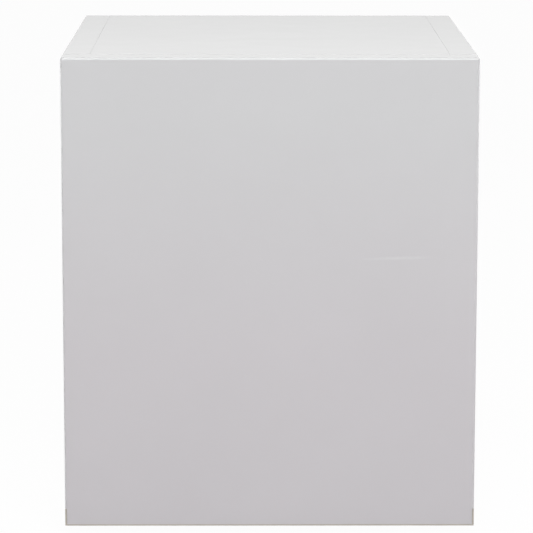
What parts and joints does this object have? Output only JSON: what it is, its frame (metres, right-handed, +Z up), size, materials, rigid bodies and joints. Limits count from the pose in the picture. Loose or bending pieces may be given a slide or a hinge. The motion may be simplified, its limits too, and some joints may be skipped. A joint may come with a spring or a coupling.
{
  "type": "mini fridge",
  "caption": "Small free-standing compressor fridge with one plain flush door on concealed side hinges, an ice box with a flap, a glass shelf, door balconies and levelling feet.",
  "frame": {"origin": "on the floor, under the middle of the cabinet's outline", "axes": "+Z up, -Y towards the door, +X towards the hinge side"},
  "size_m": [0.44, 0.48, 0.516],
  "materials": {
    "white_steel": "satin",
    "white_plastic": "satin",
    "liner_plastic": "gloss",
    "clear_plastic": "gloss",
    "gasket_vinyl": "matte",
    "magnet": "matte",
    "foam": "matte",
    "zinc_steel": "satin",
    "black_enamel": "satin",
    "copper": "satin",
    "aluminium": "satin",
    "black_plastic": "matte",
    "black_rubber": "matte",
    "pale_plastic": "satin",
    "shelf_glass": "polished"
  },
  "bodies": {
    "cabinet": {"back_panel": "zinc_steel", "base_plate": "zinc_steel", "cabinet_foam": "foam", "capillary_tube": "copper", "chiller_frame": "liner_plastic", "compressor_bolts": "zinc_steel", "compressor_grommets": "black_rubber", "compressor_mount": "zinc_steel", "compressor_rail": "zinc_steel", "compressor_shell": "black_enamel", "condenser_clips": "black_plastic", "condenser_tube": "black_enamel", "condenser_wires": "black_enamel", "cord_gland": "black_plastic", "discharge_tube": "black_enamel", "evaporator": "aluminium", "evaporator_hangers": "pale_plastic", "evaporator_lines": "aluminium", "filter_drier": "copper", "foot_nuts": "zinc_steel", "hinge_backing_plates": "zinc_steel", "hinge_screws": "zinc_steel", "inner_liner": "liner_plastic", "left_side_panel": "white_steel", "lower_hinge_bracket": "zinc_steel", "lower_hinge_pin": "zinc_steel", "process_tube": "copper", "rear_feet": "black_plastic", "right_side_panel": "white_steel", "suction_tube": "copper", "terminal_cover": "black_plastic", "thermostat_body": "zinc_steel", "thermostat_housing": "liner_plastic", "top_panel": "white_steel", "upper_hinge_bracket": "zinc_steel", "upper_hinge_pin": "zinc_steel"},
    "door": {"door_skin": "white_steel", "door_top_cap": "white_plastic", "door_bottom_cap": "white_plastic", "door_foam": "foam", "door_liner": "liner_plastic", "door_gasket": "gasket_vinyl", "gasket_magnets": "magnet", "upper_hinge_bush": "pale_plastic", "lower_hinge_bush": "pale_plastic", "door_grip": "white_plastic"},
    "chiller_flap": {"chiller_flap": "liner_plastic"},
    "drip_tray": {"drip_tray": "clear_plastic"},
    "thermostat_knob": {"thermostat_knob": "pale_plastic", "thermostat_shaft": "zinc_steel"},
    "shelf": {"shelf_glass": "shelf_glass", "shelf_front_trim": "pale_plastic", "shelf_rear_trim": "pale_plastic"},
    "upper_balcony": {"upper_balcony": "clear_plastic"},
    "lower_balcony": {"lower_balcony": "clear_plastic"},
    "front_left_foot": {"front_left_foot": "black_plastic"},
    "front_right_foot": {"front_right_foot": "black_plastic"}
  },
  "joints": [
    {"name": "door_swing", "type": "hinge", "parent": "cabinet", "child": "door", "pos_m": [0.21108, -0.224, 0.258], "axis": [0, 0, 1], "range_deg": [0, 110]},
    {"name": "chiller_flap_swing", "type": "hinge", "parent": "cabinet", "child": "chiller_flap", "pos_m": [-0.0365, -0.0462, 0.4692], "axis": [-1, 0, 0], "range_deg": [0, 85]},
    {"name": "thermostat_turn", "type": "hinge", "parent": "cabinet", "child": "thermostat_knob", "pos_m": [0.1467, -0.0653, 0.451], "axis": [0, 1, 0], "range_deg": [0, 270]},
    {"name": "drip_tray_slide", "type": "slide", "parent": "cabinet", "child": "drip_tray", "axis": [0, -1, 0], "range_m": [0, 0.096]},
    {"name": "shelf_slide", "type": "slide", "parent": "cabinet", "child": "shelf", "axis": [0, -1, 0], "range_m": [0, 0.074]},
    {"name": "upper_balcony_lift", "type": "slide", "parent": "door", "child": "upper_balcony", "axis": [0, 0, 1], "range_m": [0, 0.018]},
    {"name": "lower_balcony_lift", "type": "slide", "parent": "door", "child": "lower_balcony", "axis": [0, 0, 1], "range_m": [0, 0.018]},
    {"name": "front_left_foot_screw", "type": "slide", "parent": "cabinet", "child": "front_left_foot", "axis": [0, 0, -1], "range_m": [0, 0.01]},
    {"name": "front_right_foot_screw", "type": "slide", "parent": "cabinet", "child": "front_right_foot", "axis": [0, 0, -1], "range_m": [0, 0.01]}
  ]
}
